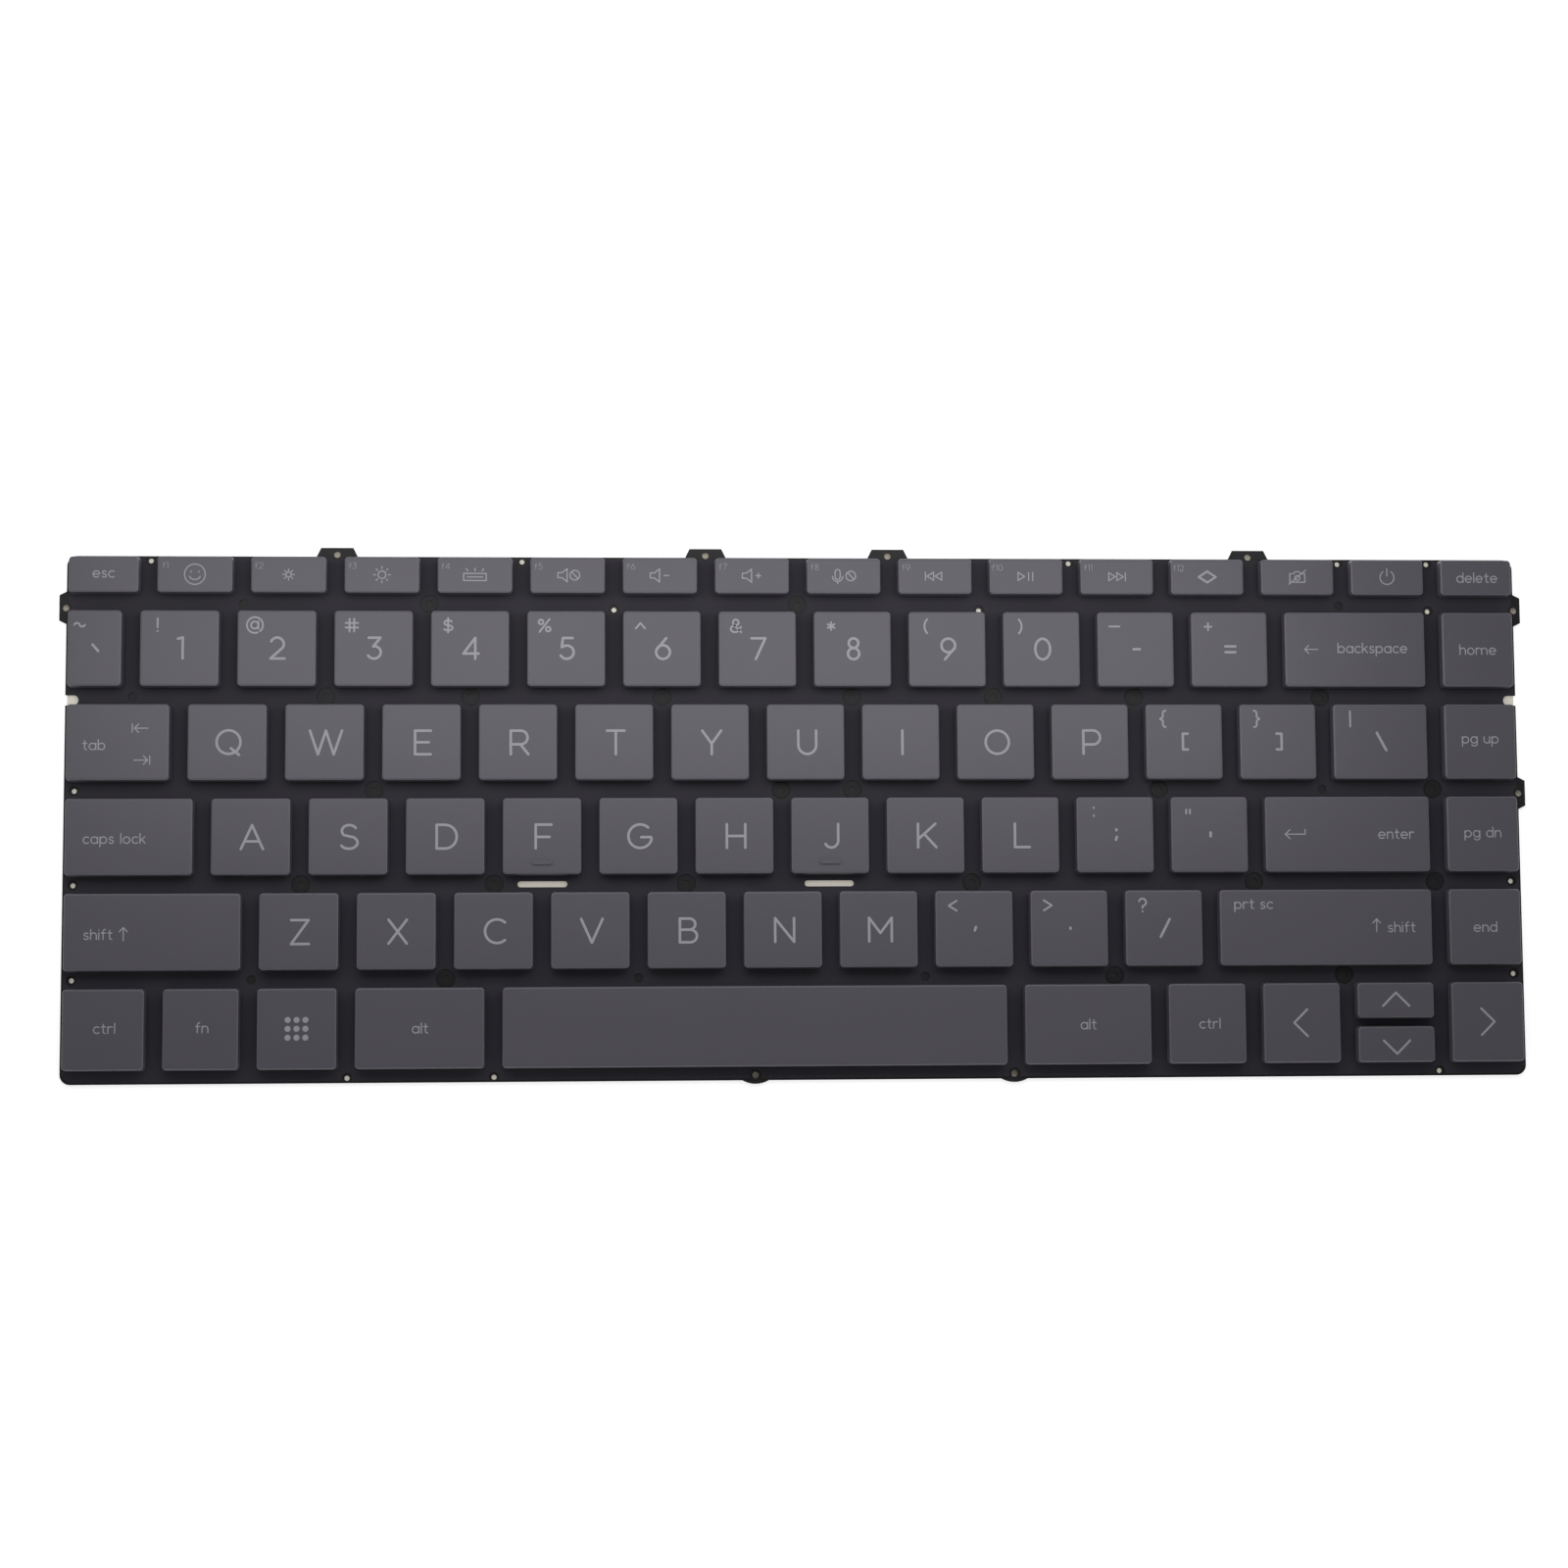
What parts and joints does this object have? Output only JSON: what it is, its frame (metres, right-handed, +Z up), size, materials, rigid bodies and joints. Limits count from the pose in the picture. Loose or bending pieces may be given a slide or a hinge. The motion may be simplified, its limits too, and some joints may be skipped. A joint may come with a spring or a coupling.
{
  "type": "laptop keyboard",
  "caption": "Flat laptop keyboard with island keys on scissor levers and rubber domes, on a thin stamped plate with fixing ears around its edge.",
  "frame": {"origin": "on the table, under the middle of the outline, ears included", "axes": "+X along the key rows towards the last column, +Y from the space bar towards the function row, +Z up through the key tops"},
  "size_m": [0.2892, 0.1054, 0.0052],
  "materials": {
    "cap_plastic": "soft matte paint",
    "plate": "black coat, satin",
    "switch_film": "black print, matte",
    "light_film": "black backing film",
    "dome_rubber": "milky, matte",
    "lever_plastic": "as moulded",
    "wire_steel": "drawn wire"
  },
  "bodies": {
    "frame": {"backlight_panel": "light_film", "base_plate": "plate", "membrane": "switch_film", "rubber_domes": "dome_rubber", "scissor_levers": "lever_plastic", "stabilizer_bars": "wire_steel", "upper_row_keys": "cap_plastic"},
    "key_a": {"key_a": "cap_plastic"},
    "key_apostrophe": {"key_apostrophe": "cap_plastic"},
    "key_arrow_down": {"key_arrow_down": "cap_plastic"},
    "key_arrow_left": {"key_arrow_left": "cap_plastic"},
    "key_arrow_right": {"key_arrow_right": "cap_plastic"},
    "key_arrow_up": {"key_arrow_up": "cap_plastic"},
    "key_b": {"key_b": "cap_plastic"},
    "key_backslash": {"key_backslash": "cap_plastic"},
    "key_c": {"key_c": "cap_plastic"},
    "key_caps_lock": {"key_caps_lock": "cap_plastic"},
    "key_comma": {"key_comma": "cap_plastic"},
    "key_d": {"key_d": "cap_plastic"},
    "key_e": {"key_e": "cap_plastic"},
    "key_end": {"key_end": "cap_plastic"},
    "key_enter": {"key_enter": "cap_plastic"},
    "key_f": {"key_f": "cap_plastic"},
    "key_fn": {"key_fn": "cap_plastic"},
    "key_g": {"key_g": "cap_plastic"},
    "key_h": {"key_h": "cap_plastic"},
    "key_i": {"key_i": "cap_plastic"},
    "key_j": {"key_j": "cap_plastic"},
    "key_k": {"key_k": "cap_plastic"},
    "key_l": {"key_l": "cap_plastic"},
    "key_left_alt": {"key_left_alt": "cap_plastic"},
    "key_left_bracket": {"key_left_bracket": "cap_plastic"},
    "key_left_control": {"key_left_control": "cap_plastic"},
    "key_left_shift": {"key_left_shift": "cap_plastic"},
    "key_m": {"key_m": "cap_plastic"},
    "key_n": {"key_n": "cap_plastic"},
    "key_o": {"key_o": "cap_plastic"},
    "key_p": {"key_p": "cap_plastic"},
    "key_page_down": {"key_page_down": "cap_plastic"},
    "key_page_up": {"key_page_up": "cap_plastic"},
    "key_period": {"key_period": "cap_plastic"},
    "key_q": {"key_q": "cap_plastic"},
    "key_r": {"key_r": "cap_plastic"},
    "key_right_alt": {"key_right_alt": "cap_plastic"},
    "key_right_bracket": {"key_right_bracket": "cap_plastic"},
    "key_right_control": {"key_right_control": "cap_plastic"},
    "key_right_shift": {"key_right_shift": "cap_plastic"},
    "key_s": {"key_s": "cap_plastic"},
    "key_semicolon": {"key_semicolon": "cap_plastic"},
    "key_slash": {"key_slash": "cap_plastic"},
    "key_space": {"key_space": "cap_plastic"},
    "key_system": {"key_system": "cap_plastic"},
    "key_t": {"key_t": "cap_plastic"},
    "key_tab": {"key_tab": "cap_plastic"},
    "key_u": {"key_u": "cap_plastic"},
    "key_v": {"key_v": "cap_plastic"},
    "key_w": {"key_w": "cap_plastic"},
    "key_x": {"key_x": "cap_plastic"},
    "key_y": {"key_y": "cap_plastic"},
    "key_z": {"key_z": "cap_plastic"}
  },
  "joints": [
    {"name": "key_a_press", "type": "slide", "parent": "frame", "child": "key_a", "axis": [0, 0, -1], "range_m": [0, 0.0013], "stiffness_N_per_m": 250, "springref_m": -0.0012, "deforming": ["rubber_domes", "scissor_levers"]},
    {"name": "key_apostrophe_press", "type": "slide", "parent": "frame", "child": "key_apostrophe", "axis": [0, 0, -1], "range_m": [0, 0.0013], "stiffness_N_per_m": 250, "springref_m": -0.0012, "deforming": ["rubber_domes", "scissor_levers"]},
    {"name": "key_arrow_down_press", "type": "slide", "parent": "frame", "child": "key_arrow_down", "axis": [0, 0, -1], "range_m": [0, 0.0013], "stiffness_N_per_m": 250, "springref_m": -0.0012, "deforming": ["rubber_domes", "scissor_levers"]},
    {"name": "key_arrow_left_press", "type": "slide", "parent": "frame", "child": "key_arrow_left", "axis": [0, 0, -1], "range_m": [0, 0.0013], "stiffness_N_per_m": 250, "springref_m": -0.0012, "deforming": ["rubber_domes", "scissor_levers"]},
    {"name": "key_arrow_right_press", "type": "slide", "parent": "frame", "child": "key_arrow_right", "axis": [0, 0, -1], "range_m": [0, 0.0013], "stiffness_N_per_m": 250, "springref_m": -0.0012, "deforming": ["rubber_domes", "scissor_levers"]},
    {"name": "key_arrow_up_press", "type": "slide", "parent": "frame", "child": "key_arrow_up", "axis": [0, 0, -1], "range_m": [0, 0.0013], "stiffness_N_per_m": 250, "springref_m": -0.0012, "deforming": ["rubber_domes", "scissor_levers"]},
    {"name": "key_b_press", "type": "slide", "parent": "frame", "child": "key_b", "axis": [0, 0, -1], "range_m": [0, 0.0013], "stiffness_N_per_m": 250, "springref_m": -0.0012, "deforming": ["rubber_domes", "scissor_levers"]},
    {"name": "key_backslash_press", "type": "slide", "parent": "frame", "child": "key_backslash", "axis": [0, 0, -1], "range_m": [0, 0.0013], "stiffness_N_per_m": 250, "springref_m": -0.0012, "deforming": ["rubber_domes", "scissor_levers"]},
    {"name": "key_c_press", "type": "slide", "parent": "frame", "child": "key_c", "axis": [0, 0, -1], "range_m": [0, 0.0013], "stiffness_N_per_m": 250, "springref_m": -0.0012, "deforming": ["rubber_domes", "scissor_levers"]},
    {"name": "key_caps_lock_press", "type": "slide", "parent": "frame", "child": "key_caps_lock", "axis": [0, 0, -1], "range_m": [0, 0.0013], "stiffness_N_per_m": 250, "springref_m": -0.0012, "deforming": ["rubber_domes", "scissor_levers"]},
    {"name": "key_comma_press", "type": "slide", "parent": "frame", "child": "key_comma", "axis": [0, 0, -1], "range_m": [0, 0.0013], "stiffness_N_per_m": 250, "springref_m": -0.0012, "deforming": ["rubber_domes", "scissor_levers"]},
    {"name": "key_d_press", "type": "slide", "parent": "frame", "child": "key_d", "axis": [0, 0, -1], "range_m": [0, 0.0013], "stiffness_N_per_m": 250, "springref_m": -0.0012, "deforming": ["rubber_domes", "scissor_levers"]},
    {"name": "key_e_press", "type": "slide", "parent": "frame", "child": "key_e", "axis": [0, 0, -1], "range_m": [0, 0.0013], "stiffness_N_per_m": 250, "springref_m": -0.0012, "deforming": ["rubber_domes", "scissor_levers"]},
    {"name": "key_end_press", "type": "slide", "parent": "frame", "child": "key_end", "axis": [0, 0, -1], "range_m": [0, 0.0013], "stiffness_N_per_m": 250, "springref_m": -0.0012, "deforming": ["rubber_domes", "scissor_levers"]},
    {"name": "key_enter_press", "type": "slide", "parent": "frame", "child": "key_enter", "axis": [0, 0, -1], "range_m": [0, 0.0013], "stiffness_N_per_m": 250, "springref_m": -0.0012, "deforming": ["rubber_domes", "scissor_levers", "stabilizer_bars"]},
    {"name": "key_f_press", "type": "slide", "parent": "frame", "child": "key_f", "axis": [0, 0, -1], "range_m": [0, 0.0013], "stiffness_N_per_m": 250, "springref_m": -0.0012, "deforming": ["rubber_domes", "scissor_levers"]},
    {"name": "key_fn_press", "type": "slide", "parent": "frame", "child": "key_fn", "axis": [0, 0, -1], "range_m": [0, 0.0013], "stiffness_N_per_m": 250, "springref_m": -0.0012, "deforming": ["rubber_domes", "scissor_levers"]},
    {"name": "key_g_press", "type": "slide", "parent": "frame", "child": "key_g", "axis": [0, 0, -1], "range_m": [0, 0.0013], "stiffness_N_per_m": 250, "springref_m": -0.0012, "deforming": ["rubber_domes", "scissor_levers"]},
    {"name": "key_h_press", "type": "slide", "parent": "frame", "child": "key_h", "axis": [0, 0, -1], "range_m": [0, 0.0013], "stiffness_N_per_m": 250, "springref_m": -0.0012, "deforming": ["rubber_domes", "scissor_levers"]},
    {"name": "key_i_press", "type": "slide", "parent": "frame", "child": "key_i", "axis": [0, 0, -1], "range_m": [0, 0.0013], "stiffness_N_per_m": 250, "springref_m": -0.0012, "deforming": ["rubber_domes", "scissor_levers"]},
    {"name": "key_j_press", "type": "slide", "parent": "frame", "child": "key_j", "axis": [0, 0, -1], "range_m": [0, 0.0013], "stiffness_N_per_m": 250, "springref_m": -0.0012, "deforming": ["rubber_domes", "scissor_levers"]},
    {"name": "key_k_press", "type": "slide", "parent": "frame", "child": "key_k", "axis": [0, 0, -1], "range_m": [0, 0.0013], "stiffness_N_per_m": 250, "springref_m": -0.0012, "deforming": ["rubber_domes", "scissor_levers"]},
    {"name": "key_l_press", "type": "slide", "parent": "frame", "child": "key_l", "axis": [0, 0, -1], "range_m": [0, 0.0013], "stiffness_N_per_m": 250, "springref_m": -0.0012, "deforming": ["rubber_domes", "scissor_levers"]},
    {"name": "key_left_alt_press", "type": "slide", "parent": "frame", "child": "key_left_alt", "axis": [0, 0, -1], "range_m": [0, 0.0013], "stiffness_N_per_m": 250, "springref_m": -0.0012, "deforming": ["rubber_domes", "scissor_levers"]},
    {"name": "key_left_bracket_press", "type": "slide", "parent": "frame", "child": "key_left_bracket", "axis": [0, 0, -1], "range_m": [0, 0.0013], "stiffness_N_per_m": 250, "springref_m": -0.0012, "deforming": ["rubber_domes", "scissor_levers"]},
    {"name": "key_left_control_press", "type": "slide", "parent": "frame", "child": "key_left_control", "axis": [0, 0, -1], "range_m": [0, 0.0013], "stiffness_N_per_m": 250, "springref_m": -0.0012, "deforming": ["rubber_domes", "scissor_levers"]},
    {"name": "key_left_shift_press", "type": "slide", "parent": "frame", "child": "key_left_shift", "axis": [0, 0, -1], "range_m": [0, 0.0013], "stiffness_N_per_m": 250, "springref_m": -0.0012, "deforming": ["rubber_domes", "scissor_levers", "stabilizer_bars"]},
    {"name": "key_m_press", "type": "slide", "parent": "frame", "child": "key_m", "axis": [0, 0, -1], "range_m": [0, 0.0013], "stiffness_N_per_m": 250, "springref_m": -0.0012, "deforming": ["rubber_domes", "scissor_levers"]},
    {"name": "key_n_press", "type": "slide", "parent": "frame", "child": "key_n", "axis": [0, 0, -1], "range_m": [0, 0.0013], "stiffness_N_per_m": 250, "springref_m": -0.0012, "deforming": ["rubber_domes", "scissor_levers"]},
    {"name": "key_o_press", "type": "slide", "parent": "frame", "child": "key_o", "axis": [0, 0, -1], "range_m": [0, 0.0013], "stiffness_N_per_m": 250, "springref_m": -0.0012, "deforming": ["rubber_domes", "scissor_levers"]},
    {"name": "key_p_press", "type": "slide", "parent": "frame", "child": "key_p", "axis": [0, 0, -1], "range_m": [0, 0.0013], "stiffness_N_per_m": 250, "springref_m": -0.0012, "deforming": ["rubber_domes", "scissor_levers"]},
    {"name": "key_page_down_press", "type": "slide", "parent": "frame", "child": "key_page_down", "axis": [0, 0, -1], "range_m": [0, 0.0013], "stiffness_N_per_m": 250, "springref_m": -0.0012, "deforming": ["rubber_domes", "scissor_levers"]},
    {"name": "key_page_up_press", "type": "slide", "parent": "frame", "child": "key_page_up", "axis": [0, 0, -1], "range_m": [0, 0.0013], "stiffness_N_per_m": 250, "springref_m": -0.0012, "deforming": ["rubber_domes", "scissor_levers"]},
    {"name": "key_period_press", "type": "slide", "parent": "frame", "child": "key_period", "axis": [0, 0, -1], "range_m": [0, 0.0013], "stiffness_N_per_m": 250, "springref_m": -0.0012, "deforming": ["rubber_domes", "scissor_levers"]},
    {"name": "key_q_press", "type": "slide", "parent": "frame", "child": "key_q", "axis": [0, 0, -1], "range_m": [0, 0.0013], "stiffness_N_per_m": 250, "springref_m": -0.0012, "deforming": ["rubber_domes", "scissor_levers"]},
    {"name": "key_r_press", "type": "slide", "parent": "frame", "child": "key_r", "axis": [0, 0, -1], "range_m": [0, 0.0013], "stiffness_N_per_m": 250, "springref_m": -0.0012, "deforming": ["rubber_domes", "scissor_levers"]},
    {"name": "key_right_alt_press", "type": "slide", "parent": "frame", "child": "key_right_alt", "axis": [0, 0, -1], "range_m": [0, 0.0013], "stiffness_N_per_m": 250, "springref_m": -0.0012, "deforming": ["rubber_domes", "scissor_levers"]},
    {"name": "key_right_bracket_press", "type": "slide", "parent": "frame", "child": "key_right_bracket", "axis": [0, 0, -1], "range_m": [0, 0.0013], "stiffness_N_per_m": 250, "springref_m": -0.0012, "deforming": ["rubber_domes", "scissor_levers"]},
    {"name": "key_right_control_press", "type": "slide", "parent": "frame", "child": "key_right_control", "axis": [0, 0, -1], "range_m": [0, 0.0013], "stiffness_N_per_m": 250, "springref_m": -0.0012, "deforming": ["rubber_domes", "scissor_levers"]},
    {"name": "key_right_shift_press", "type": "slide", "parent": "frame", "child": "key_right_shift", "axis": [0, 0, -1], "range_m": [0, 0.0013], "stiffness_N_per_m": 250, "springref_m": -0.0012, "deforming": ["rubber_domes", "scissor_levers", "stabilizer_bars"]},
    {"name": "key_s_press", "type": "slide", "parent": "frame", "child": "key_s", "axis": [0, 0, -1], "range_m": [0, 0.0013], "stiffness_N_per_m": 250, "springref_m": -0.0012, "deforming": ["rubber_domes", "scissor_levers"]},
    {"name": "key_semicolon_press", "type": "slide", "parent": "frame", "child": "key_semicolon", "axis": [0, 0, -1], "range_m": [0, 0.0013], "stiffness_N_per_m": 250, "springref_m": -0.0012, "deforming": ["rubber_domes", "scissor_levers"]},
    {"name": "key_slash_press", "type": "slide", "parent": "frame", "child": "key_slash", "axis": [0, 0, -1], "range_m": [0, 0.0013], "stiffness_N_per_m": 250, "springref_m": -0.0012, "deforming": ["rubber_domes", "scissor_levers"]},
    {"name": "key_space_press", "type": "slide", "parent": "frame", "child": "key_space", "axis": [0, 0, -1], "range_m": [0, 0.0013], "stiffness_N_per_m": 250, "springref_m": -0.0012, "deforming": ["rubber_domes", "scissor_levers", "stabilizer_bars"]},
    {"name": "key_system_press", "type": "slide", "parent": "frame", "child": "key_system", "axis": [0, 0, -1], "range_m": [0, 0.0013], "stiffness_N_per_m": 250, "springref_m": -0.0012, "deforming": ["rubber_domes", "scissor_levers"]},
    {"name": "key_t_press", "type": "slide", "parent": "frame", "child": "key_t", "axis": [0, 0, -1], "range_m": [0, 0.0013], "stiffness_N_per_m": 250, "springref_m": -0.0012, "deforming": ["rubber_domes", "scissor_levers"]},
    {"name": "key_tab_press", "type": "slide", "parent": "frame", "child": "key_tab", "axis": [0, 0, -1], "range_m": [0, 0.0013], "stiffness_N_per_m": 250, "springref_m": -0.0012, "deforming": ["rubber_domes", "scissor_levers"]},
    {"name": "key_u_press", "type": "slide", "parent": "frame", "child": "key_u", "axis": [0, 0, -1], "range_m": [0, 0.0013], "stiffness_N_per_m": 250, "springref_m": -0.0012, "deforming": ["rubber_domes", "scissor_levers"]},
    {"name": "key_v_press", "type": "slide", "parent": "frame", "child": "key_v", "axis": [0, 0, -1], "range_m": [0, 0.0013], "stiffness_N_per_m": 250, "springref_m": -0.0012, "deforming": ["rubber_domes", "scissor_levers"]},
    {"name": "key_w_press", "type": "slide", "parent": "frame", "child": "key_w", "axis": [0, 0, -1], "range_m": [0, 0.0013], "stiffness_N_per_m": 250, "springref_m": -0.0012, "deforming": ["rubber_domes", "scissor_levers"]},
    {"name": "key_x_press", "type": "slide", "parent": "frame", "child": "key_x", "axis": [0, 0, -1], "range_m": [0, 0.0013], "stiffness_N_per_m": 250, "springref_m": -0.0012, "deforming": ["rubber_domes", "scissor_levers"]},
    {"name": "key_y_press", "type": "slide", "parent": "frame", "child": "key_y", "axis": [0, 0, -1], "range_m": [0, 0.0013], "stiffness_N_per_m": 250, "springref_m": -0.0012, "deforming": ["rubber_domes", "scissor_levers"]},
    {"name": "key_z_press", "type": "slide", "parent": "frame", "child": "key_z", "axis": [0, 0, -1], "range_m": [0, 0.0013], "stiffness_N_per_m": 250, "springref_m": -0.0012, "deforming": ["rubber_domes", "scissor_levers"]}
  ]
}
